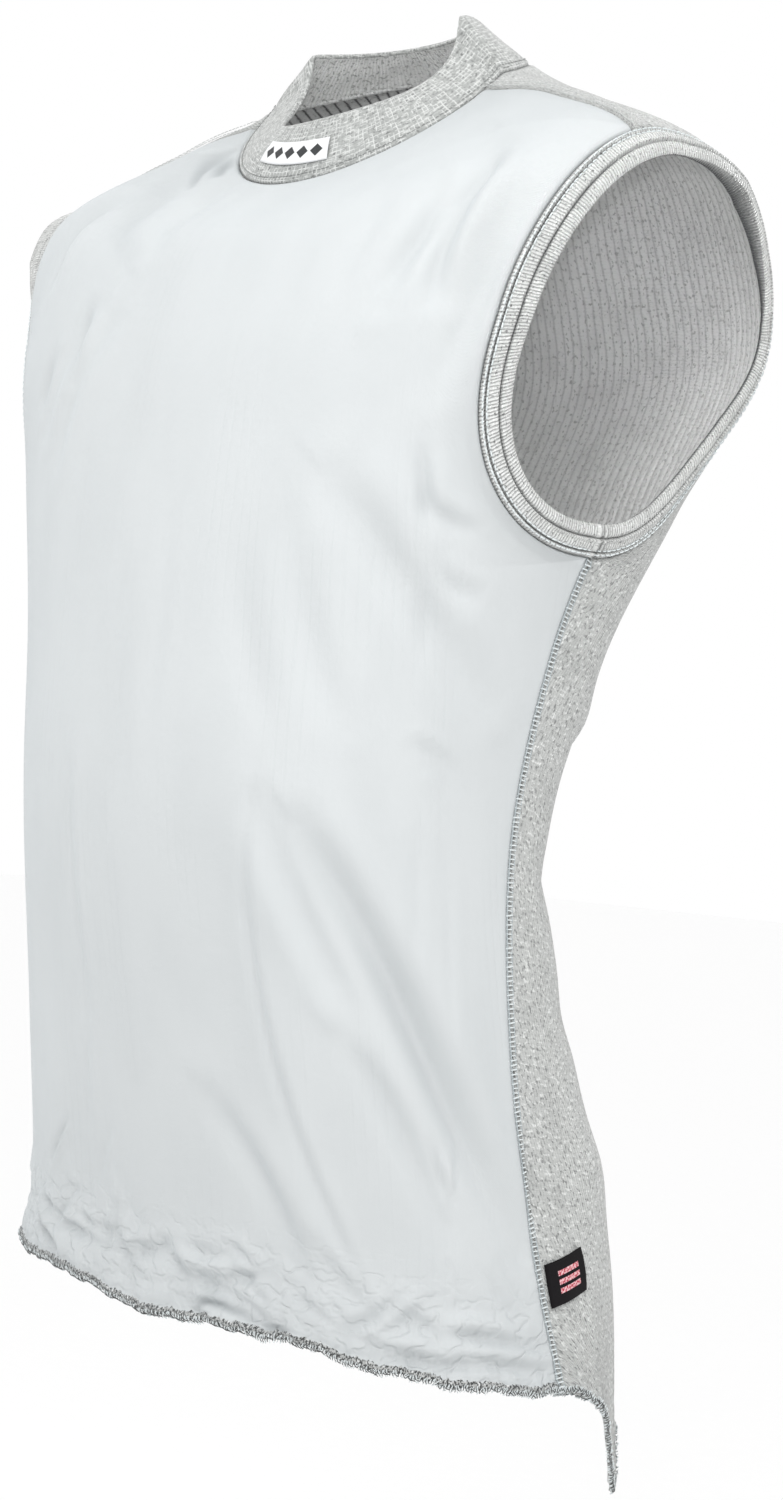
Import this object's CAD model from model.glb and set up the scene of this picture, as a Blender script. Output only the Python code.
import math

import bpy
import numpy as np
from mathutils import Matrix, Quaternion, Vector
from mathutils.kdtree import KDTree


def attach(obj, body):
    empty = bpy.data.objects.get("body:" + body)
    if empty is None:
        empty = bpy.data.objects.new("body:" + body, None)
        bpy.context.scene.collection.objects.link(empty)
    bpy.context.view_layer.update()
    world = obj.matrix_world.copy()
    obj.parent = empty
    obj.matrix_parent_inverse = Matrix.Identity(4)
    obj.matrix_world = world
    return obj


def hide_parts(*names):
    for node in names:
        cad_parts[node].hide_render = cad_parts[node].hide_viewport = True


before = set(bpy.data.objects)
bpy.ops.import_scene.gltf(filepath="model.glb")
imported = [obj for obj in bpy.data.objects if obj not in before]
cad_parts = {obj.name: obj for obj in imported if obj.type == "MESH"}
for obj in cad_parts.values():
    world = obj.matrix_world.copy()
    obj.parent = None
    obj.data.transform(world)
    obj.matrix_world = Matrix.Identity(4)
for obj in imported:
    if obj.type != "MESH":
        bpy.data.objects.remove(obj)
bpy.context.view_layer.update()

bodyShape = {
    # sideZ, frontZ, backZ, halfWidth, frontDepth, backDepth, shiftX, shiftY, squareFront, squareBack, peak
    "sections": (
        (-0.665, -0.650, -0.665, 0.187, 0.111, 0.115, 0.005, -0.011, 2.3, 2.6, 1.8),
        (-0.606, -0.598, -0.600, 0.174, 0.104, 0.127, 0.002, -0.016, 2.3, 2.7, 1.8),
        (-0.512, -0.502, -0.500, 0.163, 0.109, 0.113, 0.000, -0.027, 2.3, 2.5, 1.8),
        (-0.402, -0.396, -0.398, 0.159, 0.121, 0.087, 0.000, -0.033, 2.3, 2.3, 1.8),
        (-0.306, -0.292, -0.298, 0.170, 0.130, 0.105, 0.000, -0.024, 2.3, 2.5, 1.8),
        (-0.229, -0.205, -0.216, 0.191, 0.137, 0.123, 0.000, -0.011, 2.4, 2.8, 1.8),
        (-0.137, -0.149, -0.141, 0.217, 0.141, 0.143, 0.000, 0.002, 2.4, 3.0, 1.8),
        (-0.054, -0.100, -0.068, 0.214, 0.119, 0.126, 0.000, 0.000, 2.3, 2.6, 1.8),
        (-0.016, -0.075, -0.014, 0.142, 0.090, 0.098, 0.000, 0.008, 2.2, 2.2, 1.5),
        (0.000, -0.060, 0.025, 0.088, 0.064, 0.066, 0.000, 0.003, 2.0, 2.0, 1.0),
    ),
    "rim": (0.028, -0.026, 0.035, 0.0567, 0.049, 0.043, 0.0023, -0.001, 2.0, 2.0, 0.42),
    "rimTilt": 0.003,
    # angle, drop of the hem below its section
    "hemDrops": (
        (-180.0, -0.022), (-150.0, -0.022), (-113.0, -0.013), (-90.0, -0.002), (-66.0, -0.005),
        (-40.0, -0.001), (3.0, 0.000), (10.0, 0.010), (27.0, 0.062), (37.0, 0.036), (52.0, 0.029),
        (72.0, 0.034), (142.0, 0.034), (158.0, 0.004), (172.0, -0.018), (180.0, -0.022),
    ),
    "hemBlend": 1.5,
    "hemFade": 1.5,
    "stepTurn": 4.5,
    "topStation": 9,
    "metresPerDegree": 0.0026,
    "angleStep": 0.5,
    "stationStep": 0.02,
}

panelShape = {
    "armholeBottom": 4.66,
    "armholeTop": 7.17,
    "frontReach": 36.2,
    "backReach": 31.5,
    "square": 2.2,
    "lowBackSquare": 1.65,
    "shoulderSeamAngle": -11.0,
    "middleAtArmpit": 4.35,
    "middleAtShoulder": 8.0,
    "rowBend": 3.0,
    "hemDensity": 1.40,
}

# The largest folds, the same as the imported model's: angle, z, angle, z, half width, rise.
largeFolds = (
    (-60.0, -0.360, -55.0, -0.580, 0.022, 0.0030),
    (-36.0, -0.400, -12.0, -0.600, 0.024, -0.0035),
    (-27.0, -0.400, -7.0, -0.560, 0.018, 0.0030),
    (-72.0, -0.420, -70.0, -0.640, 0.024, -0.0030),
    (-50.0, -0.085, -41.0, -0.190, 0.020, -0.0030),
    (-128.0, -0.070, -141.0, -0.150, 0.022, -0.0030),
    (-115.0, -0.520, -120.0, -0.640, 0.020, 0.0030),
    (-146.0, -0.400, -168.0, -0.600, 0.024, -0.0035),
    (55.0, -0.330, 82.0, -0.400, 0.026, 0.0035),
    (125.0, -0.330, 98.0, -0.410, 0.026, 0.0035),
    (48.0, -0.420, 70.0, -0.520, 0.024, -0.0030),
    (132.0, -0.420, 110.0, -0.520, 0.024, -0.0030),
    (30.0, -0.085, 32.0, -0.190, 0.024, 0.0034),
)
foldEnds = (0.12, 0.88)  # a fold fades towards both of its ends

# Creases: start, middle and end as angle and z, half width, rise, the share of a ridge thrown up beside
# the crease (on its right below 0, on its left above 0), and for the sharper ones the shade in them.
creaseColumns = ("start", "middle", "end", "halfWidth", "rise", "lean", "shade")
creaseShape = {
    "points": 10,
    "reach": 3.5,
    "ridgeOffset": 1.7,
    "ridgeWidth": 1.6,
    "ends": (0.06, 0.94),
    "fade": 0.8,
}
frontCreases = (
    ((-50.5, -0.397), (-29.2, -0.476), (-4.2, -0.600), 0.0100, -0.0082, 0.6),
    ((-61.0, -0.380), (-60.5, -0.500), (-45.0, -0.622), 0.0035, -0.0024, 0.5),
    ((-59.5, -0.385), (-50.0, -0.440), (-40.0, -0.490), 0.0080, -0.0036, -0.5),
    ((-44.2, -0.498), (-33.0, -0.536), (-25.8, -0.590), 0.0085, -0.0044, 0.6),
    ((-76.0, -0.535), (-65.0, -0.578), (-59.2, -0.616), 0.0080, -0.0044, 0.6),
    ((-56.0, -0.228), (-36.5, -0.276), (-14.5, -0.332), 0.0100, -0.0054, 0.5),
    ((-61.5, -0.247), (-53.0, -0.305), (-44.2, -0.345), 0.0090, -0.0026, 0.4),
    ((-70.0, -0.255), (-67.0, -0.300), (-58.0, -0.350), 0.0090, -0.0018, 0.4),
    ((-42.2, -0.205), (-34.0, -0.264), (-28.8, -0.305), 0.0045, -0.0020, 0.4),
    ((-34.5, -0.238), (-30.0, -0.262), (-23.5, -0.282), 0.0070, -0.0028, -0.4),
    ((-36.0, -0.052), (-49.0, -0.091), (-57.5, -0.140), 0.0070, -0.0038, 0.7),
    ((-41.0, -0.070), (-48.5, -0.106), (-47.0, -0.140), 0.0060, -0.0034, 0.7),
    ((-36.5, -0.091), (-41.2, -0.145), (-42.2, -0.182), 0.0080, -0.0034, 0.6),
    ((-60.0, -0.080), (-62.0, -0.100), (-66.0, -0.130), 0.0060, -0.0012, 0.6),
    ((-128.0, -0.048), (-106.0, -0.075), (-97.0, -0.105), 0.0045, -0.0022, 0.7),
    ((-104.5, -0.132), (-111.5, -0.165), (-117.5, -0.196), 0.0055, -0.0028, 0.7),
    ((-99.0, -0.140), (-107.0, -0.180), (-112.0, -0.215), 0.0050, -0.0020, 0.6),
    ((-102.5, -0.370), (-102.2, -0.443), (-100.8, -0.500), 0.0030, -0.0014, 0.6),
    ((-100.8, -0.500), (-102.5, -0.530), (-103.5, -0.560), 0.0030, -0.0012, 0.5),
    ((-93.8, -0.226), (-91.0, -0.320), (-89.0, -0.404), 0.0040, -0.0008, 0.5),
    ((-85.0, -0.230), (-84.0, -0.290), (-85.0, -0.350), 0.0040, -0.0007, 0.5),
    ((-28.5, -0.353), (-23.8, -0.355), (-17.0, -0.365), 0.0030, -0.0015, 0.7),
    ((-26.0, -0.362), (-21.0, -0.366), (-18.0, -0.376), 0.0026, -0.0012, -0.6),
    ((-18.8, -0.546), (-21.5, -0.563), (-23.8, -0.580), 0.0030, 0.0015, 0.6),
    ((-110.2, -0.559), (-114.0, -0.573), (-117.8, -0.586), 0.0019, -0.0024, 0.7),
    ((-97.0, -0.560), (-99.5, -0.574), (-101.0, -0.590), 0.0026, -0.0014, 0.6),
    ((-24.0, -0.385), (-24.0, -0.430), (-26.0, -0.470), 0.0040, -0.0008, 0.5),
    ((-17.0, -0.400), (-16.0, -0.450), (-19.0, -0.500), 0.0040, -0.0008, 0.5),
)
hemCreases = (
    ((-124.0, -0.608), (-121.0, -0.615), (-117.2, -0.622), 0.0027, 0.0024, 0.7),
    ((-122.5, -0.610), (-118.0, -0.610), (-113.0, -0.615), 0.0027, -0.0020, 0.7),
    ((-107.8, -0.609), (-104.0, -0.612), (-100.0, -0.618), 0.0027, -0.0024, 0.8),
    ((-100.5, -0.605), (-98.8, -0.610), (-97.0, -0.618), 0.0026, -0.0020, 0.8),
    ((-96.8, -0.586), (-95.0, -0.608), (-92.8, -0.619), 0.0028, 0.0020, 0.7),
    ((-94.5, -0.616), (-93.0, -0.622), (-91.5, -0.630), 0.0024, 0.0020, 0.7),
    ((-95.0, -0.617), (-92.5, -0.618), (-89.5, -0.613), 0.0024, -0.0017, 0.6),
    ((-85.0, -0.608), (-83.0, -0.618), (-73.5, -0.617), 0.0035, 0.0029, -0.8),
    ((-83.5, -0.612), (-79.0, -0.614), (-73.0, -0.612), 0.0041, -0.0017, 0.4),
    ((-73.8, -0.607), (-71.5, -0.611), (-69.0, -0.617), 0.0026, -0.0020, 0.8),
    ((-73.5, -0.623), (-71.0, -0.621), (-68.5, -0.618), 0.0024, -0.0017, 0.6),
    ((-84.8, -0.626), (-83.0, -0.631), (-81.2, -0.638), 0.0026, -0.0024, 0.8),
    ((-81.4, -0.637), (-78.0, -0.630), (-69.5, -0.637), 0.0030, -0.0031, -0.9),
    ((-68.8, -0.626), (-67.8, -0.630), (-66.3, -0.636), 0.0024, -0.0019, 0.7),
    ((-115.5, -0.622), (-108.0, -0.628), (-100.8, -0.637), 0.0090, 0.0037, 0.0),
    ((-112.0, -0.592), (-110.0, -0.597), (-107.5, -0.597), 0.0024, -0.0015, 0.7),
    ((-45.5, -0.644), (-38.0, -0.633), (-30.8, -0.621), 0.0032, -0.0019, 0.7),
    ((-41.0, -0.646), (-24.0, -0.632), (-16.0, -0.636), 0.0041, 0.0020, 0.6),
    ((-55.0, -0.600), (-51.0, -0.615), (-44.0, -0.630), 0.0049, -0.0022, 0.6),
    ((-62.0, -0.622), (-58.0, -0.630), (-53.0, -0.634), 0.0038, -0.0015, 0.7),
    ((-38.0, -0.625), (-34.0, -0.632), (-29.0, -0.640), 0.0041, -0.0017, 0.6),
    ((-14.0, -0.612), (-9.0, -0.628), (-3.5, -0.644), 0.0043, -0.0022, 0.6),
    ((-10.0, -0.604), (-6.5, -0.618), (-3.0, -0.628), 0.0038, -0.0017, 0.6),
    ((-30.0, -0.650), (-16.0, -0.651), (-0.5, -0.656), 0.0035, -0.0031, 0.8),
    ((-50.0, -0.641), (-40.0, -0.646), (-31.0, -0.648), 0.0035, -0.0022, 0.8),
    ((-132.0, -0.600), (-130.0, -0.610), (-126.0, -0.618), 0.0030, -0.0020, 0.7),
    ((-150.0, -0.590), (-145.0, -0.600), (-137.0, -0.610), 0.0032, -0.0022, 0.7),
    ((-160.0, -0.575), (-158.0, -0.600), (-150.0, -0.620), 0.0038, -0.0022, 0.7),
    ((-172.0, -0.585), (-168.0, -0.605), (-160.0, -0.630), 0.0035, -0.0020, 0.6),
)
deepCreases = (
    ((-153.2, -0.028), (-139.3, -0.042), (-124.2, -0.057), 0.0010, -0.0016, 0.7, 0.80),
    ((-148.0, -0.033), (-134.7, -0.044), (-127.0, -0.051), 0.0009, -0.0012, 0.5, 0.90),
    ((-152.2, -0.032), (-123.3, -0.067), (-102.2, -0.107), 0.0055, -0.0036, 0.8, 0.18),
    ((-142.0, -0.054), (-128.8, -0.079), (-123.8, -0.111), 0.0055, -0.0036, 0.8, 0.18),
    ((-107.0, -0.131), (-106.8, -0.149), (-108.2, -0.170), 0.0045, -0.0028, 0.7, 0.16),
    ((-114.5, -0.155), (-117.0, -0.170), (-119.5, -0.183), 0.0045, -0.0026, 0.7, 0.14),
    ((-49.5, -0.073), (-53.5, -0.103), (-56.5, -0.129), 0.0048, -0.0026, 0.7, 0.11),
    ((-41.5, -0.071), (-48.0, -0.106), (-49.5, -0.139), 0.0048, -0.0026, 0.7, 0.12),
    ((-36.0, -0.057), (-43.5, -0.076), (-49.5, -0.091), 0.0044, -0.0022, 0.7, 0.09),
    ((-37.5, -0.234), (-33.0, -0.243), (-26.0, -0.249), 0.0042, -0.0022, 0.6, 0.08),
    ((-32.0, -0.263), (-27.5, -0.274), (-21.0, -0.280), 0.0042, -0.0022, 0.6, 0.08),
    ((-41.0, -0.214), (-38.0, -0.230), (-35.5, -0.244), 0.0040, -0.0022, 0.6, 0.12),
    ((-124.0, -0.617), (-118.5, -0.625), (-112.5, -0.632), 0.0030, -0.0030, 0.8, 0.34),
    ((-114.0, -0.616), (-108.0, -0.618), (-101.0, -0.622), 0.0030, -0.0026, 0.8, 0.26),
    ((-110.5, -0.606), (-112.5, -0.611), (-114.0, -0.617), 0.0028, -0.0022, 0.7, 0.24),
    ((-101.0, -0.612), (-98.5, -0.616), (-98.0, -0.623), 0.0028, -0.0024, 0.8, 0.26),
    ((-96.5, -0.600), (-95.0, -0.618), (-91.0, -0.634), 0.0030, -0.0022, 0.7, 0.20),
    ((-93.5, -0.624), (-90.0, -0.618), (-86.5, -0.612), 0.0030, -0.0022, 0.7, 0.20),
    ((-85.0, -0.617), (-83.5, -0.626), (-77.5, -0.626), 0.0032, -0.0024, 0.8, 0.20),
    ((-77.5, -0.626), (-73.5, -0.623), (-69.5, -0.619), 0.0030, -0.0018, 0.7, 0.10),
    ((-74.5, -0.613), (-72.0, -0.620), (-69.5, -0.625), 0.0028, -0.0018, 0.8, 0.12),
    ((-84.5, -0.633), (-82.5, -0.639), (-80.5, -0.645), 0.0028, -0.0022, 0.8, 0.28),
    ((-69.5, -0.633), (-68.0, -0.637), (-67.0, -0.641), 0.0026, -0.0020, 0.8, 0.24),
    ((-80.5, -0.643), (-77.5, -0.637), (-68.5, -0.642), 0.0032, -0.0036, -0.9, 1.00),
    ((-68.5, -0.642), (-65.0, -0.644), (-62.5, -0.647), 0.0030, -0.0028, -0.8, 0.70),
    ((-24.5, -0.544), (-23.0, -0.561), (-22.0, -0.572), 0.0030, -0.0020, 0.7, 0.16),
    ((-51.5, -0.639), (-45.5, -0.632), (-39.0, -0.622), 0.0032, -0.0020, 0.7, 0.18),
    ((-32.5, -0.633), (-15.5, -0.639), (-1.0, -0.645), 0.0036, -0.0024, 0.7, 0.20),
    ((-48.5, -0.648), (-36.0, -0.650), (-24.5, -0.651), 0.0032, -0.0020, 0.7, 0.18),
)
backCreases = (
    ((60.0, -0.335), (72.0, -0.352), (88.0, -0.360), 0.0080, -0.0020, 0.6),
    ((58.0, -0.372), (74.0, -0.385), (92.0, -0.392), 0.0075, -0.0018, 0.6),
    ((122.0, -0.345), (110.0, -0.362), (95.0, -0.372), 0.0080, -0.0018, -0.6),
    ((126.0, -0.390), (112.0, -0.402), (96.0, -0.405), 0.0070, -0.0016, -0.6),
    ((20.0, -0.330), (34.0, -0.352), (50.0, -0.362), 0.0070, -0.0012, 0.6),
    ((16.0, -0.400), (32.0, -0.425), (48.0, -0.448), 0.0080, -0.0014, 0.6),
    ((162.0, -0.340), (148.0, -0.362), (134.0, -0.372), 0.0070, -0.0012, -0.6),
    ((40.0, -0.470), (44.0, -0.540), (42.0, -0.620), 0.0110, -0.0020, 0.5),
    ((138.0, -0.480), (134.0, -0.550), (137.0, -0.630), 0.0110, -0.0020, -0.5),
    ((78.0, -0.520), (82.0, -0.580), (80.0, -0.650), 0.0120, -0.0016, 0.4),
    ((106.0, -0.530), (103.0, -0.590), (107.0, -0.660), 0.0120, -0.0016, -0.4),
    ((48.0, -0.190), (56.0, -0.235), (66.0, -0.270), 0.0090, -0.0014, 0.5),
    ((132.0, -0.190), (124.0, -0.232), (114.0, -0.268), 0.0090, -0.0014, -0.5),
    ((62.0, -0.085), (76.0, -0.105), (90.0, -0.112), 0.0090, -0.0010, 0.5),
    ((14.0, -0.330), (34.0, -0.334), (56.0, -0.340), 0.0160, 0.0026, 0.0),
    ((14.0, -0.408), (34.0, -0.414), (56.0, -0.420), 0.0180, -0.0028, 0.0),
    ((16.0, -0.486), (34.0, -0.488), (54.0, -0.492), 0.0180, -0.0026, 0.0),
    ((14.0, -0.562), (32.0, -0.566), (52.0, -0.570), 0.0220, 0.0030, 0.0),
)


def smoothStep(value):
    clamped = np.clip(value, 0.0, 1.0)
    return clamped * clamped * (3.0 - 2.0 * clamped)


def mix(first, second, share):
    return first + (second - first) * share


def signedPower(value, power):
    return np.sign(value) * np.abs(value) ** power


def ringPoint(section, angle):
    across = np.cos(np.radians(angle))
    along = np.sin(np.radians(angle))
    front = along < 0
    sideZ, frontZ, backZ, halfWidth, frontDepth, backDepth, shiftX, shiftY, squareF, squareB, peak = (
        np.moveaxis(section, -1, 0)
    )
    power = 2.0 / np.where(front, squareF, squareB)
    x = shiftX + halfWidth * signedPower(across, power)
    y = shiftY + np.where(front, frontDepth, backDepth) * signedPower(along, power)
    z = mix(sideZ, np.where(front, frontZ, backZ), np.abs(along) ** peak)
    return np.stack((x, y, z), axis=-1)


def sectionAt(station):
    rows = np.array(bodyShape["sections"])
    padded = np.vstack((2 * rows[0] - rows[1], rows, 2 * rows[-1] - rows[-2]))
    lower = np.clip(np.floor(station).astype(int), 0, bodyShape["topStation"] - 1)
    share = (station - lower)[..., None]
    before, now, after, last = (padded[lower + step] for step in range(4))
    slope = (after - before) * share
    bend = (2 * before - 5 * now + 4 * after - last) * share ** 2
    twist = (-before + 3 * now - 3 * after + last) * share ** 3
    return 0.5 * (2 * now + slope + bend + twist)


def wrapped(angle):
    return (angle + 180.0) % 360.0 - 180.0


def hemDrop(angle):
    rows = np.array(bodyShape["hemDrops"])
    turned = wrapped(angle)
    low = np.clip(np.searchsorted(rows[:, 0], turned, side="right") - 1, 0, len(rows) - 2)
    share = (turned - rows[low, 0]) / (rows[low + 1, 0] - rows[low, 0])
    return mix(rows[low, 1], rows[low + 1, 1], smoothStep(share))


def bodyPoint(angle, station):
    angle, station = np.broadcast_arrays(np.asarray(angle, float), np.asarray(station, float))
    point = ringPoint(sectionAt(station), angle)
    blend = np.clip(1.0 - station / bodyShape["hemBlend"], 0.0, 1.0) ** bodyShape["hemFade"]
    point[..., 2] -= hemDrop(angle) * blend
    return point


def unit(vectors):
    return vectors / np.maximum(np.linalg.norm(vectors, axis=-1, keepdims=True), 1e-12)


def bodyNormal(angle, station):
    angle, station = np.broadcast_arrays(np.asarray(angle, float), np.asarray(station, float))
    step = bodyShape["angleStep"]
    side = np.where(station > bodyShape["stepTurn"], -1.0, 1.0) * bodyShape["stationStep"]
    around = bodyPoint(angle + step, station) - bodyPoint(angle - step, station)
    upward = (bodyPoint(angle, station + side) - bodyPoint(angle, station)) / side[..., None]
    return unit(np.cross(around, upward))


def foldRise(angle, height):
    total = np.zeros(np.shape(angle))
    perDegree = bodyShape["metresPerDegree"]
    for angle0, z0, angle1, z1, halfWidth, rise in largeFolds:
        line = np.array(((angle1 - angle0) * perDegree, z1 - z0))
        placeX = wrapped(angle - angle0) * perDegree
        placeY = height - z0
        share = np.clip((placeX * line[0] + placeY * line[1]) / line.dot(line), 0.0, 1.0)
        apart = np.hypot(placeX - line[0] * share, placeY - line[1] * share) / halfWidth
        total += rise * np.sin(np.pi * mix(*foldEnds, share)) * np.exp(-apart ** 2)
    return total


def clothPoint(angle, station):
    point = bodyPoint(angle, station)
    return point + bodyNormal(angle, station) * foldRise(angle, point[..., 2])[..., None]


# One crease follows a bent line through its middle, fades at both ends and throws up the cloth beside it.
def creaseRise(creases, angle, height):
    total = np.zeros(np.shape(angle))
    perDegree = bodyShape["metresPerDegree"]
    for row in creases:
        crease = dict(zip(creaseColumns, row))
        start = np.array(crease["start"])
        middle = np.array(crease["middle"]) - start
        end = np.array(crease["end"]) - start
        steering = 2.0 * middle - 0.5 * end
        shares = np.linspace(0.0, 1.0, creaseShape["points"])[:, None]
        line = (2.0 * shares * (1.0 - shares) * steering + shares ** 2 * end) * (perDegree, 1.0)
        placeX = wrapped(angle - start[0]) * perDegree
        placeY = height - start[1]
        reach = creaseShape["reach"] * crease["halfWidth"]
        near = (placeX > line[:, 0].min() - reach) & (placeX < line[:, 0].max() + reach)
        near &= (placeY > line[:, 1].min() - reach) & (placeY < line[:, 1].max() + reach)
        placeX = placeX[near]
        placeY = placeY[near]
        best = np.full(placeX.shape, 1e9)
        side = np.zeros(placeX.shape)
        along = np.zeros(placeX.shape)
        for step in range(len(line) - 1):
            base = line[step]
            piece = line[step + 1] - base
            share = ((placeX - base[0]) * piece[0] + (placeY - base[1]) * piece[1]) / piece.dot(piece)
            share = np.clip(share, 0.0, 1.0)
            offX = placeX - base[0] - piece[0] * share
            offY = placeY - base[1] - piece[1] * share
            apart = np.hypot(offX, offY)
            closer = apart < best
            best = np.where(closer, apart, best)
            side = np.where(closer, np.sign(piece[0] * offY - piece[1] * offX), side)
            along = np.where(closer, (step + share) / (len(line) - 1), along)
        across = best * side / crease["halfWidth"]
        lean = crease["lean"]
        fromRidge = across - creaseShape["ridgeOffset"] * np.sign(lean)
        shape = np.exp(-across ** 2) - abs(lean) * np.exp(-fromRidge ** 2 / creaseShape["ridgeWidth"])
        fade = np.sin(np.pi * mix(*creaseShape["ends"], along)) ** creaseShape["fade"]
        total[near] += crease["rise"] * fade * shape
    return total


# How far a place lies in the shade of the sharper creases.
def creaseShade(creases, angle, height):
    total = np.zeros(np.shape(angle))
    for row in creases:
        crease = dict(zip(creaseColumns, row))
        depth = creaseRise((row,), angle, height) / crease["rise"]
        total = np.maximum(total, np.clip(depth, 0.0, 1.0) * crease["shade"])
    return total


def armholePoint(turn):
    across = np.cos(np.radians(turn))
    upward = np.sin(np.radians(turn))
    lowBack = (across > 0) & (upward < 0)
    power = 2.0 / np.where(lowBack, panelShape["lowBackSquare"], panelShape["square"])
    reach = np.where(across < 0, panelShape["frontReach"], panelShape["backReach"])
    middle = (panelShape["armholeBottom"] + panelShape["armholeTop"]) / 2
    half = (panelShape["armholeTop"] - panelShape["armholeBottom"]) / 2
    return reach * signedPower(across, power), middle + half * signedPower(upward, power)


def shoulderTurn():
    share = abs(panelShape["shoulderSeamAngle"]) / panelShape["frontReach"]
    return 180.0 - math.degrees(math.acos(share ** (panelShape["square"] / 2.0)))


# The left edge of a panel: side seam, armhole, then shoulder seam, with the middle line's stations.
def panelEdge(bottomTurn, settings):
    below = np.linspace(0.0, 1.0, settings["rowsBelow"]) ** panelShape["hemDensity"]
    beside = np.linspace(0.0, 1.0, settings["rowsBeside"])[1:]
    above = np.linspace(0.0, 1.0, settings["rowsAbove"])[1:]
    turns = mix(bottomTurn, shoulderTurn(), beside)
    besideAngle, besideStation = armholePoint(turns)
    seamStart = besideStation[-1]
    top = float(bodyShape["topStation"])
    angles = np.concatenate((0.0 * below, besideAngle, 0.0 * above + panelShape["shoulderSeamAngle"]))
    belowStation = panelShape["armholeBottom"] * below
    stations = np.concatenate((belowStation, besideStation, mix(seamStart, top, above)))
    middles = np.concatenate((
        panelShape["middleAtArmpit"] * below,
        mix(panelShape["middleAtArmpit"], panelShape["middleAtShoulder"], beside),
        mix(panelShape["middleAtShoulder"], top, above),
    ))
    return angles, stations, middles


def panelGrid(middleAngle, bottomTurn, settings):
    edgeAngles, edgeStations, middles = panelEdge(bottomTurn, settings)
    shares = np.linspace(0.0, 1.0, settings["columns"])
    angles = middleAngle + (edgeAngles - middleAngle)[:, None] * shares
    stations = middles[:, None] + (edgeStations - middles)[:, None] * shares ** panelShape["rowBend"]
    angles = np.hstack((2 * middleAngle - angles[:, :0:-1], angles))
    stations = np.hstack((stations[:, :0:-1], stations))
    return angles, stations


def distanceTo(points, line):
    tree = KDTree(len(line))
    for index, place in enumerate(line):
        tree.insert(Vector(place), index)
    tree.balance()
    flat = points.reshape(-1, 3)
    return np.array([tree.find(Vector(place))[2] for place in flat]).reshape(points.shape[:-1])


def steppedLength(points, axis):
    steps = np.linalg.norm(np.diff(points, axis=axis), axis=-1)
    start = np.zeros_like(np.take(steps, [0], axis=axis))
    return np.cumsum(np.concatenate((start, steps), axis=axis), axis=axis)


def gridNormal(points, closed, sign):
    if closed:
        around = np.roll(points, -1, axis=1) - np.roll(points, 1, axis=1)
    else:
        around = np.gradient(points, axis=1)
    upward = np.gradient(points, axis=0)
    return unit(np.cross(around, upward)) * sign


def makeObject(name, mesh, materials):
    for material in materials:
        mesh.materials.append(material)
    piece = bpy.data.objects.new(name, mesh)
    bpy.context.scene.collection.objects.link(piece)
    mesh.shade_smooth()
    return piece


# A mesh of quads with its flat map, its point fields and a material for each face.
def makeCloth(name, points, quads, corners, faceMaterials, materials, fields):
    mesh = bpy.data.meshes.new(name)
    mesh.vertices.add(len(points))
    mesh.vertices.foreach_set("co", points.astype(np.float32).ravel())
    mesh.loops.add(quads.size)
    mesh.loops.foreach_set("vertex_index", quads.astype(np.int32).ravel())
    mesh.polygons.add(len(quads))
    mesh.polygons.foreach_set("loop_start", np.arange(0, quads.size, 4, dtype=np.int32))
    mesh.update(calc_edges=True)
    layer = mesh.uv_layers.new(name="cloth")
    layer.data.foreach_set("uv", corners.astype(np.float32).ravel())
    for field, values in fields.items():
        attribute = mesh.attributes.new(field, "FLOAT", "POINT")
        attribute.data.foreach_set("value", values.astype(np.float32))
    mesh.validate()
    piece = makeObject(name, mesh, materials)
    mesh.polygons.foreach_set("material_index", faceMaterials)
    mesh.update()
    return piece


# A closed cloth from an outer and an inner grid; its inner side has the last material.
def makeShell(name, outer, inner, clothMap, flip, materials, fields=None):
    count = outer.shape[0] * outer.shape[1]
    index = np.arange(count).reshape(outer.shape[:2])
    around = (index[:-1, :-1], index[:-1, 1:], index[1:, 1:], index[1:, :-1])
    quads = np.stack(around, axis=-1).reshape(-1, 4)
    border = np.concatenate((index[0], index[1:, -1], index[-1, -2::-1], index[-2:0:-1, 0]))
    after = np.roll(border, -1)
    rim = np.stack((border, border + count, after + count, after), axis=-1)
    if flip:
        quads = quads[:, ::-1]
        rim = rim[:, ::-1]
    allFaces = np.vstack((quads, quads[:, ::-1] + count, rim))
    points = np.vstack((outer.reshape(-1, 3), inner.reshape(-1, 3)))
    corners = np.tile(clothMap.reshape(-1, 2), (2, 1))[allFaces.ravel()]
    faceMaterials = np.zeros(len(allFaces), np.int32)
    faceMaterials[len(quads):2 * len(quads)] = len(materials) - 1
    doubled = {field: np.tile(values.ravel(), 2) for field, values in (fields or {}).items()}
    return makeCloth(name, points, allFaces, corners, faceMaterials, materials, doubled)


def rgb(red, green, blue):
    return (red, green, blue, 1.0)


# A value for a socket is a number, a colour or another node's socket.
def feed(tree, socket, value):
    if isinstance(value, bpy.types.NodeSocket):
        tree.links.new(value, socket)
    else:
        socket.default_value = value


def addNode(tree, kind, settings=None, values=None):
    node = tree.nodes.new(kind)
    for name, value in (settings or {}).items():
        setattr(node, name, value)
    for name, value in (values or {}).items():
        feed(tree, node.inputs[name], value)
    return node


def calculate(tree, operation, *values, clamp=False):
    settings = {"operation": operation, "use_clamp": clamp}
    return addNode(tree, "ShaderNodeMath", settings, dict(enumerate(values))).outputs[0]


def times(tree, first, second):
    return calculate(tree, "MULTIPLY", first, second)


def plus(tree, first, second):
    return calculate(tree, "ADD", first, second)


def oneMinus(tree, value):
    return calculate(tree, "SUBTRACT", 1.0, value)


def fromHalf(tree, value):
    return calculate(tree, "ABSOLUTE", calculate(tree, "SUBTRACT", value, 0.5))


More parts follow.
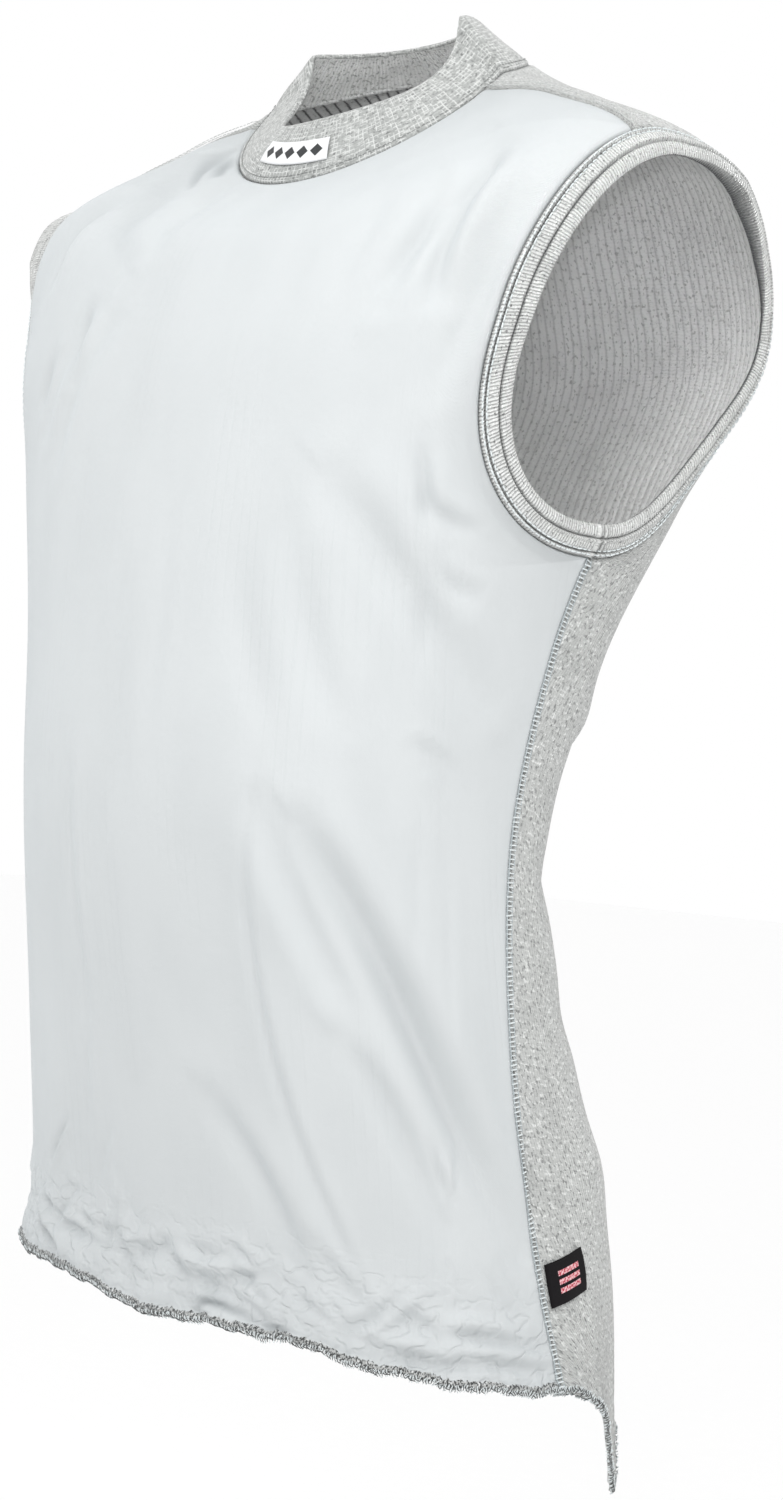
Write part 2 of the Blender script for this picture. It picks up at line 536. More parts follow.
def blendColors(tree, share, first, second):
    values = {0: share, 6: first, 7: second}
    return addNode(tree, "ShaderNodeMix", {"data_type": "RGBA"}, values).outputs[2]


def between(tree, value, low, high):
    values = {"Value": value, "From Min": low, "From Max": high}
    smooth = {"interpolation_type": "SMOOTHSTEP"}
    return addNode(tree, "ShaderNodeMapRange", smooth, values).outputs["Result"]


def partsOf(tree, vector):
    return addNode(tree, "ShaderNodeSeparateXYZ", None, {0: vector}).outputs


def pointField(tree, name):
    return addNode(tree, "ShaderNodeAttribute", {"attribute_name": name}).outputs["Fac"]


def scaledMap(tree, vector, scaleX, scaleY):
    parts = partsOf(tree, vector)
    values = {0: times(tree, parts[0], scaleX), 1: times(tree, parts[1], scaleY)}
    return addNode(tree, "ShaderNodeCombineXYZ", None, values).outputs[0]


def noiseAt(tree, vector, scaleX, scaleY, detail=2.0):
    values = {"Scale": 1.0, "Detail": detail, "Vector": scaledMap(tree, vector, scaleX, scaleY)}
    return addNode(tree, "ShaderNodeTexNoise", {"noise_dimensions": "2D"}, values).outputs["Fac"]


def startGroup(name, inputs, outputs):
    group = bpy.data.node_groups.new(name, "ShaderNodeTree")
    for label, kind, value in inputs:
        socket = group.interface.new_socket(label, in_out="INPUT", socket_type="NodeSocket" + kind)
        if value is not None:
            socket.default_value = value
    for label, kind in outputs:
        group.interface.new_socket(label, in_out="OUTPUT", socket_type="NodeSocket" + kind)
    return group, group.nodes.new("NodeGroupInput").outputs


yarnShape = {
    "coarse": (0.53, 1.31),
    "softness": 0.16,
    "clouds": (60.0, 45.0, 3.0),
    "cloudRange": (0.40, 0.75),
    "cloudShade": 0.22,
}


# Flecked yarn: light and dark fibres over a middle tone, longer along the wales.
def buildMelange():
    group, given = startGroup(
        "melangeYarn",
        (
            ("Map", "Vector", None),
            ("Dark", "Color", rgb(0.2, 0.2, 0.2)),
            ("Middle", "Color", rgb(0.5, 0.5, 0.5)),
            ("Light", "Color", rgb(0.8, 0.8, 0.8)),
            ("Flecks Across", "Float", 900.0),
            ("Flecks Along", "Float", 420.0),
            ("Dark Share", "Float", 0.56),
            ("Light Share", "Float", 0.56),
        ),
        (("Color", "Color"), ("Fleck", "Float")),
    )
    fine = noiseAt(group, given["Map"], given["Flecks Across"], given["Flecks Along"])
    coarseAcross = times(group, given["Flecks Across"], yarnShape["coarse"][0])
    coarseAlong = times(group, given["Flecks Along"], yarnShape["coarse"][1])
    coarse = noiseAt(group, given["Map"], coarseAcross, coarseAlong)
    cloudy = noiseAt(group, given["Map"], *yarnShape["clouds"])
    darkEnd = plus(group, given["Dark Share"], yarnShape["softness"])
    lightEnd = plus(group, given["Light Share"], yarnShape["softness"])
    darkMask = between(group, fine, given["Dark Share"], darkEnd)
    lightMask = between(group, coarse, given["Light Share"], lightEnd)
    cloudMask = times(group, between(group, cloudy, *yarnShape["cloudRange"]), yarnShape["cloudShade"])
    color = blendColors(group, lightMask, given["Middle"], given["Light"])
    color = blendColors(group, darkMask, color, given["Dark"])
    color = blendColors(group, cloudMask, color, given["Dark"])
    fleck = calculate(group, "SUBTRACT", lightMask, darkMask)
    addNode(group, "NodeGroupOutput", None, {"Color": color, "Fleck": fleck})
    return group


knitShape = {
    "wobble": (220.0, 160.0),
    "wobbleReach": 0.0012,
    "valleyRange": (0.45, 1.0),
    "gridRange": (0.45, 0.85),
}


# Knit relief: rounded wales with a loop row across them.
def buildKnit():
    group, given = startGroup(
        "knitRelief",
        (
            ("Map", "Vector", None),
            ("Wale", "Float", 0.0020),
            ("Course", "Float", 0.0016),
            ("Course Depth", "Float", 0.4),
        ),
        (("Height", "Float"), ("Valley", "Float"), ("Grid", "Float")),
    )
    shift = times(group, noiseAt(group, given["Map"], *knitShape["wobble"]), knitShape["wobbleReach"])
    ridges = []
    for part, spacing in zip(partsOf(group, given["Map"]), (given["Wale"], given["Course"])):
        turn = times(group, calculate(group, "DIVIDE", plus(group, part, shift), spacing), math.pi)
        ridges.append(calculate(group, "ABSOLUTE", calculate(group, "SINE", turn)))
    wale, course = ridges
    lowered = times(group, oneMinus(group, course), given["Course Depth"])
    height = calculate(group, "SUBTRACT", wale, lowered)
    nearest = calculate(group, "MINIMUM", wale, course)
    valley = between(group, oneMinus(group, height), *knitShape["valleyRange"])
    grid = between(group, oneMinus(group, nearest), *knitShape["gridRange"])
    addNode(group, "NodeGroupOutput", None, {"Height": height, "Valley": valley, "Grid": grid})
    return group


# Woven relief: threads over and under each other, with a soft unevenness.
def buildWeave():
    group, given = startGroup(
        "weaveRelief",
        (("Map", "Vector", None), ("Thread", "Float", 0.0004), ("Unevenness", "Float", 0.5)),
        (("Height", "Float"),),
    )
    parts = partsOf(group, given["Map"])
    threads = []
    for part in (parts[0], parts[1]):
        turn = times(group, calculate(group, "DIVIDE", part, given["Thread"]), math.pi)
        threads.append(calculate(group, "SINE", turn))
    uneven = times(group, noiseAt(group, given["Map"], 260.0, 190.0, 4.0), given["Unevenness"])
    addNode(group, "NodeGroupOutput", None, {"Height": plus(group, times(group, *threads), uneven)})
    return group


def useGroup(tree, group, values):
    return addNode(tree, "ShaderNodeGroup", {"node_tree": group}, values)


def startMaterial(name, values):
    material = bpy.data.materials.new(name)
    material.use_nodes = True
    shader = material.node_tree.nodes["Principled BSDF"]
    for socket, value in values.items():
        shader.inputs[socket].default_value = value
    return material, material.node_tree, shader


def startCloth(name, roughness, sheen=0.0, others=None):
    values = {"Roughness": roughness, "Sheen Weight": sheen, "Sheen Roughness": 0.45}
    material, tree, shader = startMaterial(name, dict(values, **(others or {})))
    clothMap = addNode(tree, "ShaderNodeUVMap", {"uv_map": "cloth"})
    return material, tree, shader, clothMap.outputs["UV"]


def addBump(tree, shader, height, distance):
    bump = addNode(tree, "ShaderNodeBump", None, {"Distance": distance, "Strength": 1.0, "Height": height})
    tree.links.new(bump.outputs["Normal"], shader.inputs["Normal"])


melangeYarn = buildMelange()
knitRelief = buildKnit()
weaveRelief = buildWeave()
print("stage: shader groups made")


# Noises are flecks a metre across, along, and detail; ranges are where a mask starts and where it is full.
frontFinish = {
    "base": rgb(0.566, 0.589, 0.596),
    "shade": rgb(0.500, 0.524, 0.532),
    "crease": rgb(0.300, 0.322, 0.332),
    "sheenTint": rgb(0.85, 0.95, 1.0),
    "roughness": 0.50,
    "sheen": 0.25,
    "lineSpacing": 0.0058,
    "lineRange": (0.55, 1.0),
    "lineShade": 0.12,
    "driftNoise": (24.0, 3.0),
    "drift": 0.016,
    "patchNoise": (24.0, 6.0, 3.0),
    "patchRange": (0.46, 0.72),
    "cloudNoise": (26.0, 12.0, 5.0),
    "cloudRange": (0.30, 0.75),
    "cloudShade": 0.30,
    "lowRange": (0.005, 0.100),
    "lowShade": 0.42,
    "weave": {"Thread": 0.00035, "Unevenness": 2.4},
    "hemWidth": 0.0055,
    "raggedNoise": (520.0, 300.0),
    "ragged": 0.0030,
    "hemYarn": {
        "Dark": rgb(0.050, 0.052, 0.051),
        "Middle": rgb(0.420, 0.428, 0.420),
        "Light": rgb(0.720, 0.730, 0.725),
        "Flecks Across": 1100.0,
        "Flecks Along": 700.0,
        "Dark Share": 0.44,
        "Light Share": 0.48,
    },
    "hemDepth": 5.0,
    "crumpleNoise": (60.0, 80.0, 2.0),
    "crumpleRange": (0.0, 0.10),
    "crumpleFade": (0.030, 0.062),
    "crumpleDepth": -9.0,
    "depth": 0.00006,
}


# Smooth windproof cloth, laminated to a lining whose wales press through as faint upright lines.
def windproofMaterial(finish):
    material, tree, shader, clothMap = startCloth(
        "windproofWhite", finish["roughness"], finish["sheen"], {"Sheen Tint": finish["sheenTint"]}
    )
    drift = times(tree, noiseAt(tree, clothMap, *finish["driftNoise"]), finish["drift"])
    across = plus(tree, partsOf(tree, clothMap)[0], drift)
    turn = times(tree, across, 2.0 * math.pi / finish["lineSpacing"])
    line = between(tree, calculate(tree, "SINE", turn), *finish["lineRange"])
    patches = between(tree, noiseAt(tree, clothMap, *finish["patchNoise"]), *finish["patchRange"])
    line = times(tree, line, patches)
    cloudy = between(tree, noiseAt(tree, clothMap, *finish["cloudNoise"]), *finish["cloudRange"])
    tone = plus(tree, times(tree, line, finish["lineShade"]), times(tree, cloudy, finish["cloudShade"]))
    fromHem = pointField(tree, "fromHem")
    lower = oneMinus(tree, between(tree, fromHem, *finish["lowRange"]))
    tone = calculate(tree, "ADD", tone, times(tree, lower, finish["lowShade"]), clamp=True)
    color = blendColors(tree, tone, finish["base"], finish["shade"])
    color = blendColors(tree, pointField(tree, "trough"), color, finish["crease"])
    # The overlocked hem shows flecked thread instead of the smooth face.
    ragged = times(tree, noiseAt(tree, clothMap, *finish["raggedNoise"]), finish["ragged"])
    fromHem = plus(tree, fromHem, ragged)
    hemMask = calculate(tree, "LESS_THAN", fromHem, finish["hemWidth"])
    hemYarn = useGroup(tree, melangeYarn, dict(finish["hemYarn"], Map=clothMap))
    color = blendColors(tree, hemMask, color, hemYarn.outputs["Color"])
    tree.links.new(color, shader.inputs["Base Color"])
    # Thin cloth crumples in fine ridges a little above the hem.
    crumpled = fromHalf(tree, noiseAt(tree, clothMap, *finish["crumpleNoise"]))
    crumpled = oneMinus(tree, between(tree, crumpled, *finish["crumpleRange"]))
    aboveHem = oneMinus(tree, between(tree, fromHem, *finish["crumpleFade"]))
    crumpled = times(tree, times(tree, crumpled, aboveHem), finish["crumpleDepth"])
    weave = useGroup(tree, weaveRelief, dict(finish["weave"], Map=clothMap))
    height = plus(tree, weave.outputs["Height"], times(tree, line, -1.0))
    height = plus(tree, height, crumpled)
    rough = times(tree, hemYarn.outputs["Fleck"], hemMask)
    height = plus(tree, height, times(tree, rough, finish["hemDepth"]))
    addBump(tree, shader, height, finish["depth"])
    return material


def knitMaterial(name, finish):
    material, tree, shader, clothMap = startCloth(name, finish["roughness"], finish["sheen"])
    yarn = useGroup(tree, melangeYarn, {
        "Map": clothMap, "Dark": finish["dark"], "Middle": finish["middle"], "Light": finish["light"],
        "Flecks Across": finish["flecks"][0], "Flecks Along": finish["flecks"][1],
        "Dark Share": finish["darkShare"], "Light Share": finish["lightShare"],
    })
    knit = useGroup(tree, knitRelief, {
        "Map": clothMap, "Wale": finish["wale"], "Course": finish["course"],
        "Course Depth": finish["courseDepth"],
    })
    groove = times(tree, knit.outputs["Valley"], finish["valleyShade"])
    color = blendColors(tree, groove, yarn.outputs["Color"], finish["dark"])
    if finish["grid"] > 0.0:  # light threads drawn along and across
        broken = between(tree, noiseAt(tree, clothMap, *finish["gridNoise"]), *finish["gridRange"])
        grid = times(tree, times(tree, knit.outputs["Grid"], broken), finish["grid"])
        color = blendColors(tree, grid, color, finish["gridColor"])
    if finish["furrows"] > 0.0:  # rows that lie in the shade of a fold or seam
        furrow = calculate(tree, "MULTIPLY", pointField(tree, "furrow"), finish["furrows"], clamp=True)
        evenness = finish["evenness"]
        uneven = calculate(tree, "MULTIPLY_ADD", knit.outputs["Valley"], 1.0 - evenness, evenness)
        color = blendColors(tree, times(tree, furrow, uneven), color, finish["furrowColor"])
    tree.links.new(color, shader.inputs["Base Color"])
    fuzz = times(tree, yarn.outputs["Fleck"], finish["fuzz"])
    addBump(tree, shader, plus(tree, knit.outputs["Height"], fuzz), finish["depth"])
    return material


melangeFinish = {
    "dark": rgb(0.205, 0.211, 0.208),
    "middle": rgb(0.455, 0.465, 0.455),
    "light": rgb(0.680, 0.692, 0.680),
    "flecks": (440.0, 400.0),
    "darkShare": 0.54,
    "lightShare": 0.53,
    "wale": 0.0021,
    "course": 0.0024,
    "courseDepth": 0.45,
    "valleyShade": 0.30,
    "grid": 0.30,
    "gridColor": rgb(0.640, 0.652, 0.640),
    "furrows": 0.0,
    "gridNoise": (240.0, 240.0),
    "gridRange": (0.36, 0.60),
    "furrowColor": rgb(0.045, 0.048, 0.050),
    "evenness": 1.0,
    "fuzz": 0.35,
    "depth": 0.00035,
    "roughness": 0.92,
    "sheen": 0.35,
}
collarFinish = dict(
    melangeFinish,
    dark=rgb(0.180, 0.186, 0.182),
    middle=rgb(0.345, 0.356, 0.347),
    light=rgb(0.520, 0.532, 0.520),
    flecks=(360.0, 620.0),
    darkShare=0.56,
    wale=0.0025,
    course=0.0025,
    courseDepth=0.7,
    valleyShade=0.10,
    grid=0.90,
)
insideFinish = dict(
    melangeFinish,
    dark=rgb(0.560, 0.562, 0.556),
    middle=rgb(0.920, 0.924, 0.918),
    light=rgb(0.950, 0.954, 0.948),
    darkShare=0.58,
    grid=0.0,
    wale=0.0062,
    course=0.0020,
    courseDepth=0.15,
    valleyShade=0.55,
    furrows=0.94,
    evenness=0.42,
    depth=0.0008,
)
collarInsideFinish = dict(
    melangeFinish,
    dark=rgb(0.500, 0.505, 0.498),
    middle=rgb(0.950, 0.956, 0.948),
    light=rgb(0.960, 0.964, 0.958),
    valleyShade=0.22,
    grid=0.0,
)
bandFinish = dict(
    melangeFinish,
    dark=rgb(0.170, 0.174, 0.172),
    middle=rgb(0.660, 0.672, 0.660),
    light=rgb(0.820, 0.830, 0.820),
    flecks=(650.0, 650.0),
    darkShare=0.60,
    wale=0.0017,
    course=0.0030,
    courseDepth=0.10,
    valleyShade=0.62,
    grid=0.0,
    furrows=0.85,
    depth=0.00065,
)
liningFinish = dict(
    melangeFinish,
    dark=rgb(0.42, 0.43, 0.43),
    middle=rgb(0.60, 0.61, 0.61),
    light=rgb(0.70, 0.71, 0.71),
    wale=0.0030,
    courseDepth=0.10,
    valleyShade=0.35,
)


threadFinish = {
    "sockets": {"Roughness": 0.62, "Sheen Weight": 0.3},
    "grain": {"Scale": 2600.0, "Detail": 2.0},
    "grainRange": (0.35, 0.75),
    "darker": 0.72,
    "depth": 0.00008,
}


def grainAt(tree, values):
    place = addNode(tree, "ShaderNodeTexCoord").outputs["Object"]
    return addNode(tree, "ShaderNodeTexNoise", None, dict(values, Vector=place)).outputs["Fac"]


def darkened(color, share):
    return rgb(*(share * part for part in color[:3]))


def threadMaterial(name, color):
    material, tree, shader = startMaterial(name, threadFinish["sockets"])
    grain = grainAt(tree, threadFinish["grain"])
    share = between(tree, grain, *threadFinish["grainRange"])
    mixed = blendColors(tree, share, color, darkened(color, threadFinish["darker"]))
    tree.links.new(mixed, shader.inputs["Base Color"])
    addBump(tree, shader, grain, threadFinish["depth"])
    return material


windproofWhite = windproofMaterial(frontFinish)
liningKnit = knitMaterial("liningKnit", liningFinish)
greyMelange = knitMaterial("greyMelange", melangeFinish)
insideRib = knitMaterial("insideRib", insideFinish)
collarKnit = knitMaterial("collarKnit", collarFinish)
collarInside = knitMaterial("collarInside", collarInsideFinish)
bandRib = knitMaterial("bandRib", bandFinish)
threadWhite = threadMaterial("threadWhite", rgb(0.74, 0.79, 0.80))
threadBlueGrey = threadMaterial("threadBlueGrey", rgb(0.42, 0.47, 0.49))
threadPale = threadMaterial("threadPale", rgb(0.58, 0.60, 0.59))
threadGrey = threadMaterial("threadGrey", rgb(0.23, 0.24, 0.235))
threadDark = threadMaterial("threadDark", rgb(0.035, 0.037, 0.036))
print("stage: materials made")


# An edge's rows give its height over the cloth beside it: distance in from the edge, rise.
frontPanel = {
    "rowsBelow": 150,
    "rowsBeside": 84,
    "rowsAbove": 26,
    "columns": 88,
    "wall": 0.0012,
    "armholeEdge": ((0.0, -0.0006), (0.0008, 0.0006), (0.0022, 0.0011), (0.0042, 0.0007), (0.0065, 0.0)),
    "hemEdge": ((0.0, -0.0001), (0.001, 0.0006), (0.003, 0.0007), (0.0045, -0.0004), (0.007, 0.0)),
    "sideEdge": ((0.0, -0.0004), (0.0025, 0.0001), (0.005, 0.0003), (0.009, 0.0)),
    "neckEdge": ((0.0, -0.0010), (0.0015, 0.0003), (0.004, 0.0005), (0.009, 0.0)),
    "shoulderEdge": ((0.0, -0.0004), (0.002, 0.0004), (0.005, 0.0004), (0.010, 0.0)),
    "hemWaves": ((0.31, 0.0009, 0.4), (0.83, 0.0006, 1.9), (1.9, 0.0004, 0.2)),
    "hemPuckers": ((0.9, 0.0005, 0.3), (2.3, 0.0004, 1.1)),
    # angle, amount of the crumples above the hem
    "crumples": (
        (-180.0, 0.0006), (-150.0, 0.0011), (-118.0, 0.0013), (-92.0, 0.0012), (-66.0, 0.0010),
        (-40.0, 0.0005), (0.0, 0.0006),
    ),
    "crumpleHeight": 0.024,
    "crumpleReach": 0.020,
    "puckerHeight": 0.006,
    "puckerReach": 0.010,
    "waveReach": 0.03,
    "troughFade": 0.003,
    "shadeFrom": -0.045,
    "shadeReach": 0.035,
    "hemShade": (0.008, 0.014),
    "edgeFade": 0.007,
    "flat": (0.47, 0.66),
    "area": 0.288,
}
backPanel = dict(
    frontPanel,
    rowsBelow=132,
    columns=80,
    wall=0.0014,
    armholeEdge=((0.0, -0.0005), (0.001, 0.0004), (0.0025, 0.0008), (0.0045, 0.0004), (0.008, 0.0)),
    hemEdge=((0.0, -0.0001), (0.0012, 0.0008), (0.0035, 0.0008), (0.005, -0.0003), (0.008, 0.0)),
    sideEdge=((0.0, -0.0003), (0.0025, 0.0003), (0.005, 0.0002), (0.009, 0.0)),
    neckEdge=((0.0, -0.0008), (0.0015, 0.0003), (0.004, 0.0004), (0.009, 0.0)),
    shoulderEdge=((0.0, -0.0003), (0.0025, 0.0006), (0.0055, 0.0005), (0.011, 0.0)),
    hemWaves=((0.27, 0.0008, 2.1), (0.71, 0.0005, 0.7), (1.7, 0.0004, 1.4)),
    hemPuckers=((0.8, 0.0004, 1.3), (2.1, 0.0003, 0.1)),
    crumples=((0.0, 0.0003), (90.0, 0.0004), (180.0, 0.0003)),
    crumpleHeight=0.026,
    edgeFade=0.010,
    flat=(0.56, 0.78),
    area=0.347,
)


def waves(table, angle):
    total = np.zeros(np.shape(angle))
    for perDegree, height, start in table:
        total += height * np.sin(perDegree * angle + start * 2.0)
    return total


# Small facets that meet in short ridges, as thin cloth crumples: share, turns across, turns upward, start.
crumpleFacets = ((1.0, 95.0, 150.0, 0.0), (0.7, 160.0, -90.0, 1.1), (0.4, 60.0, 220.0, 2.0))
crumpleMiddle = 1.3
# Waves that bend the facets' grid: size, turns across, turns upward, start.
crumpleBendAcross = ((0.0060, 0.0, 260.0, 1.3), (0.0040, 310.0, 170.0, 0.0))
crumpleBendUpward = ((0.0050, 240.0, 0.0, 0.7),)


def crumpleRise(angle, height):
    across = angle * bodyShape["metresPerDegree"]

    def bent(place, bends):
        for size, turnsX, turnsY, start in bends:
            place = place + size * np.sin(across * turnsX + height * turnsY + start)
        return place

    bentX = bent(across, crumpleBendAcross)
    bentY = bent(height, crumpleBendUpward)
    facets = np.zeros(np.shape(angle))
    for share, turnsX, turnsY, start in crumpleFacets:
        facets += share * np.abs(np.sin(bentX * turnsX + bentY * turnsY + start))
    return facets - crumpleMiddle


def shapePanel(name, middleAngle, bottomTurn, settings, creases, deep, materials):
    angle, station = panelGrid(middleAngle, bottomTurn, settings)
    plain = clothPoint(angle, station)
    body = bodyPoint(angle, station)
    height = body[..., 2]
    rowsBelow = settings["rowsBelow"]
    armholeEnd = rowsBelow + settings["rowsBeside"] - 1

    def fromBothEdges(rows):
        return distanceTo(plain, np.vstack((plain[rows, 0], plain[rows, -1])))

    distances = {
        "hemEdge": distanceTo(plain, plain[0]),
        "sideEdge": fromBothEdges(slice(0, rowsBelow)),
        "armholeEdge": fromBothEdges(slice(rowsBelow - 1, armholeEnd)),
        "shoulderEdge": fromBothEdges(slice(armholeEnd - 1, None)),
        "neckEdge": distanceTo(plain, plain[-1]),
    }
    fromHem = distances["hemEdge"]
    inside = np.minimum.reduce([distance for key, distance in distances.items() if key != "hemEdge"])
    fade = smoothStep(inside / settings["edgeFade"])
    rise = foldRise(angle, height) + creaseRise(creases + deep, angle, height) * fade
    nearPuckers = np.exp(-((fromHem - settings["puckerHeight"]) / settings["puckerReach"]) ** 2)
    rise += waves(settings["hemPuckers"], angle) * nearPuckers * fade
    amount = np.interp(angle, *np.transpose(settings["crumples"]))
    amount = amount * np.exp(-((fromHem - settings["crumpleHeight"]) / settings["crumpleReach"]) ** 2)
    rise += crumpleRise(angle, height) * amount * fade
    for key, distance in distances.items():
        rise += np.interp(distance, *np.transpose(settings[key]))
    outer = body + bodyNormal(angle, station) * rise[..., None]
    nearHem = np.clip(1.0 - fromHem / settings["waveReach"], 0.0, 1.0) ** 2
    outer[..., 2] += waves(settings["hemWaves"], angle) * nearHem * fade
    sign = 1.0 if middleAngle < 0 else -1.0
    normal = gridNormal(outer, False, sign)
    inner = outer - normal * settings["wall"]
    middleColumn = settings["columns"] - 1
    across = steppedLength(body, 1)
    along = steppedLength(body, 0)
    across = (across - across[:, middleColumn:middleColumn + 1]) * sign
    along = along - along[rowsBelow // 2:rowsBelow // 2 + 1]
    trough = creaseShade(deep, angle, height) * smoothStep(inside / settings["troughFade"])
    underCollar = smoothStep((height - settings["shadeFrom"]) / settings["shadeReach"])
    atHem = 1.0 - smoothStep((fromHem - settings["hemShade"][0]) / settings["hemShade"][1])
    fields = {"fromHem": fromHem, "trough": trough, "furrow": np.maximum(underCollar, atHem)}
    clothMap = np.stack((across, along), axis=-1)
    piece = makeShell(name, outer, inner, clothMap, middleAngle > 0, materials, fields)
    return piece, {"outer": outer, "normal": normal, "rowsBelow": rowsBelow, "armholeEnd": armholeEnd}


def finishPiece(piece, node):
    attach(piece, "root")
    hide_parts(node)
    return piece


frontCloth, frontGrid = shapePanel(
    "frontCloth", -90.0, 270.0, frontPanel, frontCreases + hemCreases, deepCreases,
    [windproofWhite, liningKnit],
)
finishPiece(frontCloth, "front_panel")
print("stage: front panel", len(frontCloth.data.polygons) * 2, "triangles")
backCloth, backGrid = shapePanel(
    "backCloth", 90.0, -90.0, backPanel, backCreases, (), [greyMelange, insideRib]
)
finishPiece(backCloth, "back_panel")
print("stage: back panel", len(backCloth.data.polygons) * 2, "triangles")


collar = {
    "columns": 260,
    "outerRows": 30,
    "bow": 0.0012,
    "wall": 0.0028,
    "wrinkle": 0.0004,
    # height up the collar, rise over its smooth face
    "outside": (
        (0.0, -0.0008), (0.03, 0.0002), (0.09, 0.0004), (0.12, -0.0003), (0.16, 0.0), (0.80, 0.0),
        (0.92, 0.0003), (1.0, 0.0),
    ),
    "rimSteps": 7,
    "flat": (0.47, 0.042),
    "area": 0.016,
}


def collarPoint(angle, height):
    low, high = (
        ringPoint(np.broadcast_to(section, np.shape(angle) + (len(section),)), angle)
        for section in (bodyShape["sections"][-1], bodyShape["rim"])
    )
    high[..., 2] += bodyShape["rimTilt"] * np.cos(np.radians(angle))
    outward = unit(low * (1.0, 1.0, 0.0))
    height = np.asarray(height)[..., None]
    return mix(low, high, height) + outward * collar["bow"] * np.sin(np.pi * height)


def shapeCollar():
    angles = np.linspace(-180.0, 180.0, collar["columns"] + 1)[:-1]
    heights = np.linspace(0.0, 1.0, collar["outerRows"])
    angle, height = np.meshgrid(angles, heights)
    smooth = collarPoint(angle, height)
    normal = gridNormal(smooth, True, 1.0)
    outer = smooth + normal * np.interp(height, *np.transpose(collar["outside"]))[..., None]
    slant = np.sin(np.radians(angle * 3.0)) * 2.0
    wrinkle = collar["wrinkle"] * np.sin(height * 5.0 + slant) * np.sin(np.pi * height)
    outer += normal * wrinkle[..., None]
    inner = outer - normal * collar["wall"]
    # The rim is rounded: both sides close in towards the middle of the wall.
    turn = np.linspace(0.0, math.pi, collar["rimSteps"])[1:-1]
    middle = (outer[-1] + inner[-1]) / 2
    upward = unit(outer[-1] - outer[-2])
    half = collar["wall"] / 2
    rim = [middle + normal[-1] * half * math.cos(t) + upward * half * math.sin(t) for t in turn]
    rows = np.concatenate((outer, np.array(rim), inner[::-1]))
    around = steppedLength(np.concatenate((smooth, smooth[:, :1]), axis=1), 1)[:, :-1]
    middleAround = around[len(heights) // 2]
    along = steppedLength(rows, 0)
    clothMap = np.stack((np.broadcast_to(middleAround, along.shape), along), axis=-1)
    return rows, clothMap, outer, normal


# A cloth ring closed both ways; its rows from innerFrom on have the last material.
def makeTube(name, rows, clothMap, flip, materials, innerFrom, fields=None):
    count, columns = rows.shape[:2]
    index = np.arange(count * columns).reshape(count, columns)
    after = np.roll(index, -1, axis=1)
    above = np.roll(index, -1, axis=0)
    quads = np.stack((index, after, np.roll(after, -1, axis=0), above), axis=-1).reshape(-1, 4)
    if flip:
        quads = quads[:, ::-1]
    corners = clothMap.reshape(-1, 2)[quads.ravel()].reshape(-1, 4, 2)
    # The last column joins the first one, so its map goes on past the end.
    wide = clothMap[..., 0].max() - clothMap[..., 0].min()
    jump = corners[..., 0].max(axis=1, keepdims=True) - corners[..., 0] > wide / 2
    corners[..., 0] += jump * (wide + wide / columns)
    faceMaterials = np.zeros((count, columns), np.int32)
    faceMaterials[innerFrom:] = len(materials) - 1
    flatFields = {field: values.ravel() for field, values in (fields or {}).items()}
    return makeCloth(
        name, rows.reshape(-1, 3), quads, corners, faceMaterials.ravel(), materials, flatFields
    )


collarRows, collarMap, collarOuter, collarNormal = shapeCollar()
collarCloth = makeTube(
    "collarCloth", collarRows, collarMap, False, [collarKnit, collarInside],
    collar["outerRows"] + collar["rimSteps"] - 2,
)
finishPiece(collarCloth, "collar")
print("stage: collar", len(collarCloth.data.polygons) * 2, "triangles")


